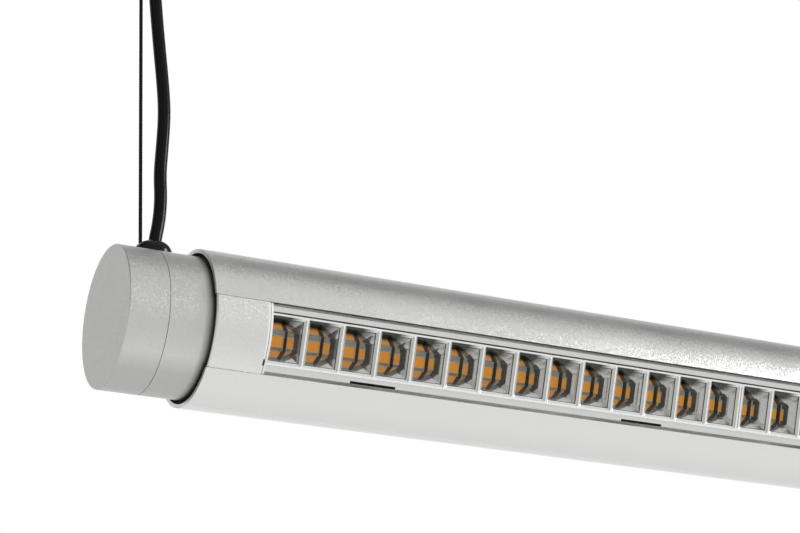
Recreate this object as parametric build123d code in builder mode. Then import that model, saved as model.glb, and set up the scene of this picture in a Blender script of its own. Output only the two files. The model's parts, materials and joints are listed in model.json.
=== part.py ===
from build123d import *
import math
import os

# A linear pendant light: a slotted aluminium tube that turns on two end hubs and hangs on two wires.
# The origin is on the ceiling plane, midway between the four ceiling screws. X runs along the tube,
# +Z is up, and in the stored pose the lit slot looks towards -Y and a little down.
# Lengths are millimetres and angles are degrees. "Inward" is measured from an end's disc face along X.

# Whole lamp
OVERALL = 1150.0  # disc face to disc face
DROP = 190.0  # ceiling plane to the tube's axis
AIM = 24.0  # how far below the horizontal the slot looks
SWING = 12.0  # swing of the suspension, each way
TURN_EACH_WAY = 170.0  # turn of the tube, each way from light straight down

# Clearances
SEAT_CLEAR = 0.05  # fixed pieces that seat in one another
RUN_CLEAR = 0.05  # journal in its bush, measured on the radius
FREE_CLEAR = 0.3  # between pieces that move past each other

# Tube
TUBE_D = 60.0
TUBE_WALL = 1.5
SLOT_WIDTH = 26.8
TUBE_SETBACK = 31.85  # disc face to the tube's rim
RIB_T = 1.5  # the two ribs inside the tube, their ledges and their hooks
LEDGE_REACH = 1.95
HOOK_REACH = 1.0

# Hubs and end caps
HUB_GAP = 1.5  # between the hub and the inside of the tube
HUB_WALL = 3.5
HUB_MOUTH = 11.6  # depth of the hub's open mouth
WEB_T = 4.0
CABLE_BORE_D = 10.0
HUB_INSET = 4.15  # from the tube's rim to the hub's shoulder
SHOULDER_H = 4.0
JOURNAL_WALL = 4.0
JOURNAL_LIP = 1.5
CAP_LENGTH = 15.2
CAP_FACE_T = 3.0
CAP_EDGE = 0.3
SEAM = 0.2
SPIGOT_T = 2.4
SPIGOT_LENGTH = 5.0
GRUB_D = 3.0
GRUB_SINK = 0.3  # how far the grub screw lies below the hub's surface
GRUB_IN = 18.0  # inward place of the grub screw

# Bushes, washers and retaining rings
BUSH_LENGTH = 12.0
WASHER_T = 0.4
RING_T = 1.2
RING_DEPTH = 1.0  # how deep the ring sits in the journal
RING_H = 2.5  # how far the ring stands out of the journal
RING_GAP_HALF = 14.0  # half angle of the ring's gap
STOP_CLEAR = 1.0  # spare angle at each stop
TAB_HALF = 3.5  # half angle of the stop tab
STOP_LENGTH = 1.5
BUSH_SCREW_D = 3.0
BUSH_SCREW_HEAD_D = 5.6
BUSH_SCREW_HEAD_H = 1.3
BUSH_SCREW_LENGTH = 5.0

# End panels and engine plates
PANEL_INSET = 0.4  # from the tube's rim to the panel
PANEL_LENGTH = 21.0
PANEL_SINK = 0.2  # how far the panel lies below the tube's surface
PANEL_BEVEL = 0.5
PANEL_SIDE = 0.1  # gap at each side of the panel
PANEL_GAP = 0.2  # between the panel and the engine plate
PLATE_T = 0.8
PLATE_SINK = 0.5
PLATE_SIDE = 0.25

# Light engine, stacked inward from the louvre's mouth
MOUTH_RECESS = 5.5  # from the tube's surface to the louvre's mouth
LOUVRE_H = 12.2
BOARD_T = 1.6
CARRIER_BASE_T = 2.0
RAIL_RECESS = 0.5  # from the louvre's mouth to the tops of the rails
SHADOW_GAP = 1.3  # between a rail and the slot's edge
RAIL_T = 1.9
LOUVRE_GAP = 0.6  # between a louvre and a rail
LOUVRE_EDGE = 0.65
BASE_SIDE = 0.3  # gap between the carrier's base and a rib
BASE_SLACK = 0.2  # gap between the carrier's base and a hook
BOARD_SIDE = 0.5
MODULES = 5
MODULE_GAP = 0.1
CELLS = 14
DIVIDER = 1.1
LED_SIZE = 5.0
LED_H = 1.6
LED_ALONG = 0.3  # how far each LED sits from the middle of its cell, along the tube and across it
LED_ACROSS = -0.25
CELL_BASE = 7.6
POCKET_RISE = 1.3  # from the LED's top to the foot of the leaning walls
LEAN_ALONG = 15.3  # lean of the cell walls, along the tube and across it
LEAN_ACROSS = 25.5
LIP_H = 0.7  # flared lip round each cell's mouth
FOOT = 0.7  # louvre foot beside each LED
GROOVE_RISE = 9.5
EAR_LENGTH = 18.0
EAR_H = 1.5
NOTCH_LENGTH = 18.8
NOTCH_DEPTH = 0.9
NOTCH_H = 6.0
NOTCH_CELLS = 4  # cells from the middle of a module to each notch
CLIP_GAP = 0.8  # between the two clips in a notch
BOARD_SCREW_D = 2.5
BOARD_SCREW_HEAD_D = 4.5
BOARD_SCREW_HEAD_H = 1.3
BOARD_SCREW_LENGTH = 3.2
BOARD_SCREW_CELLS = 4  # cells from the middle of a board to each of its screws

# Driver, its lead and the inner terminal block
DRIVER_LENGTH = 280.0
DRIVER_WIDTH = 22.0
DRIVER_H = 17.8
DRIVER_EDGE = 1.5
DRIVER_RAIL_H = 6.0  # rails inside the tube, beside the driver
BLOCK_LENGTH = 22.0
BLOCK_WIDTH = 18.0
BLOCK_BELOW = 7.0  # how far the block reaches past the tube's axis
BLOCK_SETBACK = 10.0  # from the journal's end to the block
BLOCK_BORE_DEPTH = 8.0
LEAD_D = 4.0
LEAD_BEND_R = 8.0
LEAD_OVERLAP = 15.0  # how far the lead runs over the driver before it enters it

# Wires, cord, grommets and anchors
WIRE_D = 1.3
CORD_D = 5.0
WIRE_IN = 13.4  # inward place of the wire
CORD_IN = 18.8  # inward place of the cord and of the canopies
GROMMET_IN = 18.2  # inward place of the hub grommets
FIT_CLEAR = 0.1  # cord and wire in their holes
DOME_D = 14.8
DOME_EDGE = 1.0
DOME_H = 5.1
DOME_TOP_D = 9.6
NECK_D = 13.0
NECK_LENGTH = 7.5  # from the hub's top down
FLARE_H = 5.0
FLARE = 0.9
ANCHOR_DEPTH = 9.5  # from the hub's bore to the underside of the tongue
ANCHOR_T = 2.0
ANCHOR_WIDTH = 16.0
ANCHOR_TONGUE = 18.0
ANCHOR_LEG = 9.5
ANCHOR_SCREW_D = 3.0
ANCHOR_SCREW_HEAD_D = 5.0
ANCHOR_SCREW_HEAD_H = 1.8
ANCHOR_SCREW_SPACING = 11.0
ANCHOR_SCREW_EDGE = 1.0  # from the leg's end to a screw head
ANCHOR_CORD_CLEAR = 0.7
FERRULE_D = 3.6
FERRULE_LENGTH = 6.0
BEND_R = 15.0  # bend of the cord inside the left hub
GLAND_FLANGE_T = 2.0
GLAND_FLANGE_EDGE = 0.5  # flange outside its screw heads
GLAND_FLANGE_CLEAR = 0.8
GLAND_COLLAR_D = 12.0
GLAND_LENGTH = 10.0
GLAND_SCREW_D = 2.5
GLAND_SCREW_HEAD_D = 4.0
GLAND_SCREW_HEAD_H = 1.6

# Free stretch of the power cord: inward place and height above the tube's axis
CORD_START = 26.5
CORD_END_RUN = 15.5
CORD_BENDS = [
    (CORD_IN, 32.5),
    (20.75, 42.0),
    (21.6, 52.0),
    (21.2, 63.0),
    (22.2, 75.0),
    (23.2, 90.0),
    (22.4, 104.0),
    (21.0, 120.0),
    (19.6, 138.0),
]
RUN_SHARE = 0.45  # share of the shorter run that each bend takes up

# Ceiling side
CANOPY_D = 70.0
CANOPY_H = 22.0
CANOPY_WALL = 1.5
CANOPY_BASE_T = 2.0
CANOPY_EDGE = 1.0
CEILING_PLATE_T = 2.0
CEILING_PLATE_RIM_H = 10.0
CEILING_PLATE_CLEAR = 0.2
SCREW_SPACING = 50.0
SCREW_HOLE_D = 5.0
MAINS_HOLE_D = 10.0
MAINS_HOLE_OUT = 15.0  # from the plate's centre
CANOPY_SCREW_D = 3.0
CANOPY_SCREW_LENGTH = 4.0
CANOPY_SCREW_DROP = 6.0
CEILING_FLANGE_D = 17.0
CEILING_FLANGE_T = 2.0
CEILING_NECK_D = 14.0
CEILING_LIP = 0.6
CEILING_LIP_H = 2.0
CEILING_NECK_H = 8.0  # from the flange's underside up
PIVOT_RISE = 2.5  # from the flange's underside to the axis of swing
GRIPPER_D = 5.0
GRIPPER_LENGTH = 12.0
TAIL_GRIP = 9.0  # how far the wire's tail runs up the gripper
CEILING_BLOCK_LENGTH = 20.0
CEILING_BLOCK_WIDTH = 16.0
CEILING_BLOCK_H = 10.0
CEILING_BLOCK_BACK = 2.8  # from the cord to the block's near side
CEILING_INLET = 4.0

# Sizes that follow from the ones above
LEFT = -1
RIGHT = 1
SIDES = {"left": LEFT, "right": RIGHT}
AXIS_Z = -DROP
TUBE_AXIS = Axis((0, 0, AXIS_Z), (1, 0, 0))
OUT = Vector(0, -math.cos(math.radians(AIM)), -math.sin(math.radians(AIM)))
ACROSS = Vector(0, -math.sin(math.radians(AIM)), math.cos(math.radians(AIM)))

TUBE_R = TUBE_D / 2
TUBE_BORE_R = TUBE_R - TUBE_WALL
TUBE_LENGTH = OVERALL - 2 * TUBE_SETBACK
HUB_R = TUBE_BORE_R - HUB_GAP
HUB_BORE_R = HUB_R - HUB_WALL
JOURNAL_R = HUB_R - SHOULDER_H
JOURNAL_BORE_R = JOURNAL_R - JOURNAL_WALL
HUB_START = CAP_LENGTH + SEAM
WEB_START = HUB_START + HUB_MOUTH
WEB_END = WEB_START + WEB_T
SHOULDER = TUBE_SETBACK + HUB_INSET
BUSH_START = SHOULDER + WASHER_T + 2 * RUN_CLEAR
BUSH_END = BUSH_START + BUSH_LENGTH
RING_START = BUSH_END + FREE_CLEAR
RING_END = RING_START + RING_T
JOURNAL_END = RING_END + JOURNAL_LIP
BUSH_BORE_R = JOURNAL_R + RUN_CLEAR
BUSH_R = TUBE_BORE_R - SEAT_CLEAR
RING_R = JOURNAL_R + RING_H
LUG_HALF = 180 - TURN_EACH_WAY - STOP_CLEAR - TAB_HALF
SPIGOT_R = HUB_BORE_R - SEAT_CLEAR
CAP_BORE_R = SPIGOT_R - SPIGOT_T

PANEL_START = TUBE_SETBACK + PANEL_INSET
PANEL_END = PANEL_START + PANEL_LENGTH
PLATE_START = PANEL_END + PANEL_GAP
LIT_START = PLATE_START + PLATE_T
LIT_LENGTH = OVERALL - 2 * LIT_START

SLOT_HALF = SLOT_WIDTH / 2
RAIL_OUT = SLOT_HALF - SHADOW_GAP
RAIL_IN = RAIL_OUT - RAIL_T
LOUVRE_WIDTH = 2 * (RAIL_IN - LOUVRE_GAP)
BOARD_WIDTH = 2 * (RAIL_IN - BOARD_SIDE)
LOUVRE_TOP = TUBE_R - MOUTH_RECESS
BOARD_TOP = LOUVRE_TOP - LOUVRE_H
BASE_TOP = BOARD_TOP - BOARD_T
BED = BASE_TOP - CARRIER_BASE_T
RAIL_TOP = LOUVRE_TOP - RAIL_RECESS
LED_TOP = BOARD_TOP + LED_H
POCKET_TOP = LED_TOP + POCKET_RISE
LIP_LOW = LOUVRE_TOP - LIP_H
MODULE_LENGTH = LIT_LENGTH / MODULES
LOUVRE_LENGTH = MODULE_LENGTH - MODULE_GAP
PITCH = (LOUVRE_LENGTH - DIVIDER) / CELLS
DRIVER_RAIL = DRIVER_WIDTH / 2 + FREE_CLEAR + RIB_T / 2
DRIVER_LOW = -math.sqrt((TUBE_BORE_R - SEAT_CLEAR) ** 2 - (DRIVER_WIDTH / 2) ** 2)
DRIVER_TOP = DRIVER_LOW + DRIVER_H
MOUTH_ALONG = PITCH - DIVIDER
MOUTH_ACROSS = LOUVRE_WIDTH - 2 * LOUVRE_EDGE
LIP_ALONG = CELL_BASE + 2 * (LIP_LOW - POCKET_TOP) * math.tan(math.radians(LEAN_ALONG))
LIP_ACROSS = CELL_BASE + 2 * (LIP_LOW - POCKET_TOP) * math.tan(math.radians(LEAN_ACROSS))
MODULE_MIDDLES = [(index + 0.5) * MODULE_LENGTH - LIT_LENGTH / 2 for index in range(MODULES)]
CELL_MIDDLES = [(index + 0.5 - CELLS / 2) * PITCH for index in range(CELLS)]
DIVIDER_MIDDLES = [(index + 1 - CELLS / 2) * PITCH for index in range(CELLS - 1)]
NOTCH_MIDDLES = [-NOTCH_CELLS * PITCH, NOTCH_CELLS * PITCH]
BOARD_SCREW_MIDDLES = [-BOARD_SCREW_CELLS * PITCH, BOARD_SCREW_CELLS * PITCH]
BOARD_SCREW_PLACES = [(middle + x, 0) for middle in MODULE_MIDDLES for x in BOARD_SCREW_MIDDLES]

WIRE_R = WIRE_D / 2
CORD_R = CORD_D / 2
DOME_TOP = HUB_R + DOME_H
NECK_BOTTOM = HUB_R - NECK_LENGTH
ANCHOR_Z = HUB_BORE_R - ANCHOR_DEPTH
ANCHOR_SCREW_Z = ANCHOR_Z + ANCHOR_T - ANCHOR_LEG + ANCHOR_SCREW_EDGE + ANCHOR_SCREW_HEAD_D / 2
GLAND_SCREW_SPACING = GLAND_COLLAR_D + GLAND_SCREW_HEAD_D + 2 * FREE_CLEAR
GLAND_FLANGE_R = (GLAND_SCREW_SPACING + GLAND_SCREW_HEAD_D) / 2 + GLAND_FLANGE_EDGE
BLOCK_START = JOURNAL_END + BLOCK_SETBACK
CANOPY_R = CANOPY_D / 2
CANOPY_BORE_R = CANOPY_R - CANOPY_WALL
CEILING_PLATE_R = CANOPY_BORE_R - CEILING_PLATE_CLEAR
FLANGE_BOTTOM = -CANOPY_H - CEILING_FLANGE_T
PIVOT_Z = FLANGE_BOTTOM + PIVOT_RISE
NECK_TOP = FLANGE_BOTTOM + CEILING_NECK_H

BOTTOM = (Align.CENTER, Align.CENTER, Align.MIN)

os.makedirs("parts", exist_ok=True)


# Places and outlines that several pieces share
def end_x(side, inward):
    return side * (OVERALL / 2 - inward)


def end_plane(side):
    # local x runs inward from the disc face, local y runs up from the tube's axis
    return Plane(origin=(end_x(side, 0), 0, AXIS_Z), x_dir=(-side, 0, 0), z_dir=(0, side, 0))


def profile_plane(x):
    # local x runs across the slot, local y runs out through it, and it faces along +X
    return Plane(origin=(x, 0, AXIS_Z), x_dir=ACROSS, z_dir=(1, 0, 0))


def profile_span(side, start, end):
    # the profile plane at the lower X of a stretch between two inward places
    return profile_plane(min(end_x(side, start), end_x(side, end)))


def face_plane(height):
    # local x runs along the tube, local y across the slot, at a height out from the tube's axis
    return Plane(origin=Vector(0, 0, AXIS_Z) + OUT * height, x_dir=(1, 0, 0), z_dir=OUT)


def upright_plane(x, z=0.0):
    # local x runs along the tube and local y runs up
    return Plane(origin=(x, 0, z), x_dir=(1, 0, 0), z_dir=(0, -1, 0))


def plumb_axis(x):
    return Axis((x, 0, 0), (0, 0, 1))


def along_tube(x, y=0.0, height=0.0):
    # a plane that faces along +X at a place beside the tube's axis
    return Plane(origin=(x, y, AXIS_Z + height), z_dir=(1, 0, 0))


def outline(plane, points):
    with BuildSketch(plane) as shape:
        with BuildLine():
            Polyline(*points, close=True)
        make_face()
    return shape.sketch


def box_outline(left, right, low, high):
    return [(left, low), (right, low), (right, high), (left, high)]


def polar(radius, angle):
    return (radius * math.cos(math.radians(angle)), radius * math.sin(math.radians(angle)))


def sector(plane, inner, outer, middle, half):
    with BuildSketch(plane) as shape:
        with BuildLine():
            CenterArc((0, 0), outer, middle - half, 2 * half)
            CenterArc((0, 0), inner, middle - half, 2 * half)
            Line(polar(inner, middle - half), polar(outer, middle - half))
            Line(polar(inner, middle + half), polar(outer, middle + half))
        make_face()
    return shape.sketch


def write(piece, name):
    piece.label = name
    export_step(piece, f"parts/{name}.step")


# Hubs and end caps
def hub(side, has_cord):
    with BuildPart() as piece:
        points = [
            (HUB_START, HUB_BORE_R),
            (WEB_START, HUB_BORE_R),
            (WEB_START, CABLE_BORE_D / 2),
            (WEB_END, CABLE_BORE_D / 2),
            (WEB_END, JOURNAL_BORE_R),
            (JOURNAL_END, JOURNAL_BORE_R),
            (JOURNAL_END, JOURNAL_R),
            (RING_END + SEAT_CLEAR, JOURNAL_R),
            (RING_END + SEAT_CLEAR, JOURNAL_R - RING_DEPTH),
            (RING_START - SEAT_CLEAR, JOURNAL_R - RING_DEPTH),
            (RING_START - SEAT_CLEAR, JOURNAL_R),
            (SHOULDER, JOURNAL_R),
            (SHOULDER, HUB_R),
            (HUB_START, HUB_R),
        ]
        revolve(outline(end_plane(side), points), axis=TUBE_AXIS)
        with Locations((end_x(side, GROMMET_IN), 0, AXIS_Z)):
            Cylinder(NECK_D / 2 + SEAT_CLEAR, HUB_R + DOME_H, align=BOTTOM, mode=Mode.SUBTRACT)
        with Locations(Plane(origin=(end_x(side, GRUB_IN), 0, AXIS_Z), z_dir=(0, 1, 0))):
            Cylinder(GRUB_D / 2 + SEAT_CLEAR, TUBE_R, align=BOTTOM, mode=Mode.SUBTRACT)
        web_middle = end_x(side, (WEB_START + WEB_END) / 2)
        for y in (-ANCHOR_SCREW_SPACING / 2, ANCHOR_SCREW_SPACING / 2):
            with Locations(along_tube(web_middle, y, ANCHOR_SCREW_Z)):
                Cylinder(ANCHOR_SCREW_D / 2 + SEAT_CLEAR, 2 * WEB_T, mode=Mode.SUBTRACT)
        if has_cord:
            for y in (-GLAND_SCREW_SPACING / 2, GLAND_SCREW_SPACING / 2):
                with Locations(along_tube(web_middle, y)):
                    Cylinder(GLAND_SCREW_D / 2 + SEAT_CLEAR, 2 * WEB_T, mode=Mode.SUBTRACT)
    return piece.part


def end_cap(side):
    with BuildPart() as piece:
        points = [
            (0, 0),
            (0, HUB_R - CAP_EDGE),
            (CAP_EDGE, HUB_R),
            (CAP_LENGTH, HUB_R),
            (CAP_LENGTH, SPIGOT_R),
            (CAP_LENGTH + SPIGOT_LENGTH, SPIGOT_R),
            (CAP_LENGTH + SPIGOT_LENGTH, CAP_BORE_R),
            (CAP_FACE_T, CAP_BORE_R),
            (CAP_FACE_T, 0),
        ]
        revolve(outline(end_plane(side), points), axis=TUBE_AXIS)
        with Locations((end_x(side, GROMMET_IN), 0, AXIS_Z)):
            Cylinder(NECK_D / 2 + SEAT_CLEAR, HUB_R + DOME_H, align=BOTTOM, mode=Mode.SUBTRACT)
    return piece.part


def cap_grub_screws():
    with BuildPart() as piece:
        for side in SIDES.values():
            seat = SPIGOT_R + SEAT_CLEAR
            with Locations(Plane(origin=(end_x(side, GRUB_IN), seat, AXIS_Z), z_dir=(0, 1, 0))):
                Cylinder(GRUB_D / 2, HUB_R - GRUB_SINK - seat, align=BOTTOM)
    return piece.part


def friction_washer(side):
    with BuildPart() as piece:
        start = SHOULDER + SEAT_CLEAR
        points = box_outline(start, start + WASHER_T, JOURNAL_R + SEAT_CLEAR, HUB_R - SEAT_CLEAR)
        revolve(outline(end_plane(side), points), axis=TUBE_AXIS)
    return piece.part


def retaining_ring(side):
    # an open ring, with its gap below and its stop tab at the top
    with BuildPart() as piece:
        inner = JOURNAL_R - RING_DEPTH + SEAT_CLEAR
        up = -AIM  # straight up, as an angle in the profile plane
        ring_plane = profile_span(side, RING_START, RING_END)
        extrude(sector(ring_plane, inner, RING_R, up, 180 - RING_GAP_HALF), amount=RING_T)
        tab_top = BUSH_R - FREE_CLEAR
        extrude(sector(ring_plane, RING_R - RING_DEPTH, tab_top, up, TAB_HALF), amount=RING_T)
    return piece.part


# Grommets, anchors and wires
def grommet(side, has_cord):
    with BuildPart() as piece:
        x = end_x(side, GROMMET_IN)
        with BuildSketch(upright_plane(x, AXIS_Z)):
            with BuildLine():
                foot = Polyline(
                    (0, DOME_TOP),
                    (0, NECK_BOTTOM),
                    (DOME_D / 2, NECK_BOTTOM),
                    (DOME_D / 2, HUB_R + DOME_EDGE),
                )
                TangentArc(foot @ 1, (DOME_TOP_D / 2, DOME_TOP), tangent=(0, 1))
                Line((DOME_TOP_D / 2, DOME_TOP), (0, DOME_TOP))
            make_face()
        revolve(axis=plumb_axis(x))
        with Locations(along_tube(x)):
            Cylinder(HUB_R + SEAT_CLEAR, 2 * DOME_D, mode=Mode.SUBTRACT)
        with Locations((x, 0, AXIS_Z + NECK_BOTTOM)):
            Cylinder(NECK_D / 2, NECK_LENGTH + DOME_EDGE, align=BOTTOM)
        with Locations((end_x(side, WIRE_IN), 0, AXIS_Z)):
            Cylinder(WIRE_R + FIT_CLEAR, 2 * DOME_TOP, align=BOTTOM, mode=Mode.SUBTRACT)
        if has_cord:
            cord_x = end_x(side, CORD_IN)
            with Locations((cord_x, 0, AXIS_Z)):
                Cylinder(CORD_R + FIT_CLEAR, 2 * DOME_TOP, align=BOTTOM, mode=Mode.SUBTRACT)
            with Locations((cord_x, 0, AXIS_Z + DOME_TOP - FLARE_H)):
                Cone(
                    CORD_R + FIT_CLEAR, CORD_R + FLARE, FLARE_H,
                    align=BOTTOM, mode=Mode.SUBTRACT,
                )
    return piece.part


def anchor_bracket(side):
    # a flat tongue that carries the wire, with a leg screwed to the hub's web
    with BuildPart() as piece:
        tongue_end = WEB_START - ANCHOR_TONGUE
        top = ANCHOR_Z + ANCHOR_T
        points = [
            (tongue_end, ANCHOR_Z),
            (WEB_START - ANCHOR_T, ANCHOR_Z),
            (WEB_START - ANCHOR_T, top - ANCHOR_LEG),
            (WEB_START, top - ANCHOR_LEG),
            (WEB_START, top),
            (tongue_end, top),
        ]
        extrude(outline(end_plane(side), points), amount=ANCHOR_WIDTH / 2, both=True)
        with Locations((end_x(side, WIRE_IN), 0, AXIS_Z + ANCHOR_Z)):
            Cylinder(WIRE_R + FIT_CLEAR, 2 * ANCHOR_T, mode=Mode.SUBTRACT)
        with Locations((end_x(side, CORD_IN), 0, AXIS_Z + ANCHOR_Z)):
            Cylinder(CORD_R + ANCHOR_CORD_CLEAR, 4 * ANCHOR_T, mode=Mode.SUBTRACT)
        for y in (-ANCHOR_SCREW_SPACING / 2, ANCHOR_SCREW_SPACING / 2):
            with Locations(along_tube(end_x(side, WEB_START), y, ANCHOR_SCREW_Z)):
                Cylinder(ANCHOR_SCREW_D / 2 + SEAT_CLEAR, 4 * ANCHOR_T, mode=Mode.SUBTRACT)
    return piece.part


def axial_screws(side, face, spacing, height, shank_d, shank_length, head_d, head_h, facing):
    # two screws along the tube whose heads sit on a face; facing is 1 where they point inward
    with BuildPart() as piece:
        for y in (-spacing / 2, spacing / 2):
            points = [
                (face, 0),
                (face + facing * shank_length, 0),
                (face + facing * shank_length, shank_d / 2),
                (face, shank_d / 2),
                (face, head_d / 2),
                (face - facing * head_h, head_d / 2),
                (face - facing * head_h, 0),
            ]
            plane = end_plane(side)
            screw_plane = Plane(
                origin=plane.origin + Vector(0, y, height), x_dir=plane.x_dir, z_dir=plane.z_dir
            )
            revolve(
                outline(screw_plane, points),
                axis=Axis((0, y, AXIS_Z + height), (1, 0, 0)),
            )
    return piece.part


def anchor_screws():
    with BuildPart() as piece:
        for side in SIDES.values():
            add(
                axial_screws(
                    side, WEB_START - ANCHOR_T, ANCHOR_SCREW_SPACING, ANCHOR_SCREW_Z,
                    ANCHOR_SCREW_D, ANCHOR_T + WEB_T - SEAT_CLEAR,
                    ANCHOR_SCREW_HEAD_D, ANCHOR_SCREW_HEAD_H, 1,
                )
            )
    return piece.part


def wire_ferrules():
    with BuildPart() as piece:
        for side in SIDES.values():
            top = AXIS_Z + ANCHOR_Z
            with Locations((end_x(side, WIRE_IN), 0, top - FERRULE_LENGTH)):
                Cylinder(FERRULE_D / 2, FERRULE_LENGTH, align=BOTTOM)
            with Locations((end_x(side, WIRE_IN), 0, top - FERRULE_LENGTH + WIRE_D)):
                Cylinder(WIRE_R + SEAT_CLEAR, FERRULE_LENGTH, align=BOTTOM, mode=Mode.SUBTRACT)
    return piece.part


def suspension_wire(side):
    # from the ferrule up to a round end on the axis of swing
    with BuildPart() as piece:
        low = AXIS_Z + ANCHOR_Z - FERRULE_LENGTH + WIRE_D + SEAT_CLEAR
        x = end_x(side, WIRE_IN)
        with Locations((x, 0, low)):
            Cylinder(WIRE_R, PIVOT_Z - low, align=BOTTOM)
        with Locations((x, 0, PIVOT_Z)):
            Sphere(WIRE_R)
    return piece.part


# Power cord
def cord_radii(points):
    radii = []
    for before, corner, after in zip(points, points[1:], points[2:]):
        turn = (corner - before).get_angle(after - corner)
        shorter = min((corner - before).length, (after - corner).length)
        radii.append(RUN_SHARE * shorter / math.tan(math.radians(turn) / 2))
    return radii


def power_cord():
    pivot_height = PIVOT_Z - AXIS_Z
    places = [(CORD_IN, CORD_START)] + CORD_BENDS
    places += [(CORD_IN, pivot_height - CORD_END_RUN), (CORD_IN, pivot_height)]
    points = [Vector(end_x(LEFT, inward), 0, AXIS_Z + height) for inward, height in places]
    radii = cord_radii(points)
    print("cord bend radii:", [round(radius, 1) for radius in radii])
    with BuildPart() as piece:
        with BuildLine() as route:
            FilletPolyline(*points, radius=radii)
        with BuildSketch(Plane(origin=points[0], z_dir=points[1] - points[0])):
            Circle(CORD_R)
        sweep(path=route.line)
        tube_volume = piece.part.volume
        with Locations(points[-1]):
            Sphere(CORD_R)
    length = sum(edge.length for edge in route.line.edges())
    share = tube_volume / (math.pi * CORD_R**2 * length)
    print("cord length:", round(length, 1), "volume as a share of section times length:", round(share, 4))
    return piece.part


def cord_tail():
    # down through the left grommet, round to the tube's axis and into the inner terminal block
    with BuildPart() as piece:
        top = Vector(end_x(LEFT, CORD_IN), 0, AXIS_Z + CORD_START)
        corner = Vector(end_x(LEFT, CORD_IN), 0, AXIS_Z)
        inner = Vector(end_x(LEFT, BLOCK_START + BLOCK_BORE_DEPTH - FREE_CLEAR), 0, AXIS_Z)
        with BuildLine() as route:
            FilletPolyline(top, corner, inner, radius=BEND_R)
        with BuildSketch(Plane(origin=top, z_dir=corner - top)):
            Circle(CORD_R)
        sweep(path=route.line)
    return piece.part


def cord_gland():
    # a flange on the web's inner face and a collar that grips the cord
    with BuildPart() as piece:
        flange_end = WEB_END + GLAND_FLANGE_T
        points = [
            (WEB_END, CORD_R + GLAND_FLANGE_CLEAR),
            (CORD_IN + BEND_R, CORD_R + GLAND_FLANGE_CLEAR),
            (CORD_IN + BEND_R, CORD_R + SEAT_CLEAR),
            (WEB_END + GLAND_LENGTH, CORD_R + SEAT_CLEAR),
            (WEB_END + GLAND_LENGTH, GLAND_COLLAR_D / 2),
            (flange_end, GLAND_COLLAR_D / 2),
            (flange_end, GLAND_FLANGE_R),
            (WEB_END, GLAND_FLANGE_R),
        ]
        revolve(outline(end_plane(LEFT), points), axis=TUBE_AXIS)
        for y in (-GLAND_SCREW_SPACING / 2, GLAND_SCREW_SPACING / 2):
            with Locations(along_tube(end_x(LEFT, WEB_END), y)):
                Cylinder(GLAND_SCREW_D / 2 + SEAT_CLEAR, 4 * GLAND_FLANGE_T, mode=Mode.SUBTRACT)
    return piece.part


def gland_screws():
    return axial_screws(
        LEFT, WEB_END + GLAND_FLANGE_T, GLAND_SCREW_SPACING, 0.0,
        GLAND_SCREW_D, GLAND_FLANGE_T + WEB_T - SEAT_CLEAR,
        GLAND_SCREW_HEAD_D, GLAND_SCREW_HEAD_H, -1,
    )


# Tube, bushes, end panels and engine plates
def rib_top():
    # where the outer corner of a rib reaches the middle of the tube's wall
    return math.sqrt((TUBE_R - TUBE_WALL / 2) ** 2 - (SLOT_HALF + RIB_T) ** 2)


def driver_rail_low():
    # the middle of the tube's wall under a driver rail
    return -math.sqrt((TUBE_R - TUBE_WALL / 2) ** 2 - DRIVER_RAIL**2)


def bush_screw_plane(side):
    return Plane(
        origin=(end_x(side, (BUSH_START + BUSH_END) / 2), 0, AXIS_Z), x_dir=(1, 0, 0), z_dir=-OUT
    )


def tube():
    hook_low = BASE_TOP + BASE_SLACK
    ledge_low = BED - RIB_T
    with BuildPart() as piece:
        with BuildSketch(profile_plane(end_x(LEFT, TUBE_SETBACK))):
            Circle(TUBE_R)
            Circle(TUBE_BORE_R, mode=Mode.SUBTRACT)
            Rectangle(SLOT_WIDTH, 2 * TUBE_R, align=(Align.CENTER, Align.MIN), mode=Mode.SUBTRACT)
            for sign in (-1, 1):
                rib_middle = sign * (SLOT_HALF + RIB_T / 2)
                with Locations((rib_middle, (ledge_low + rib_top()) / 2)):
                    Rectangle(RIB_T, rib_top() - ledge_low)
                with Locations((sign * (SLOT_HALF - LEDGE_REACH / 2), ledge_low + RIB_T / 2)):
                    Rectangle(LEDGE_REACH, RIB_T)
                with Locations((sign * (SLOT_HALF - HOOK_REACH / 2), hook_low + RIB_T / 2)):
                    Rectangle(HOOK_REACH, RIB_T)
                rail_height = DRIVER_LOW + DRIVER_RAIL_H - driver_rail_low()
                with Locations((sign * DRIVER_RAIL, driver_rail_low())):
                    Rectangle(RIB_T, rail_height, align=(Align.CENTER, Align.MIN))
        extrude(amount=TUBE_LENGTH)
        for side in SIDES.values():
            middle = (end_x(side, TUBE_SETBACK) + end_x(side, LIT_START)) / 2
            with Locations(along_tube(middle)):
                Cylinder(TUBE_BORE_R, LIT_START - TUBE_SETBACK, mode=Mode.SUBTRACT)
            with Locations(bush_screw_plane(side)):
                Cylinder(BUSH_SCREW_D / 2 + SEAT_CLEAR, 2 * TUBE_R, align=BOTTOM, mode=Mode.SUBTRACT)
            with Locations(bush_screw_plane(side).offset(TUBE_R - BUSH_SCREW_HEAD_H)):
                Cone(
                    BUSH_SCREW_D / 2 + SEAT_CLEAR, BUSH_SCREW_HEAD_D / 2 + SEAT_CLEAR,
                    BUSH_SCREW_HEAD_H, align=BOTTOM, mode=Mode.SUBTRACT,
                )
    return piece.part


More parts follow.
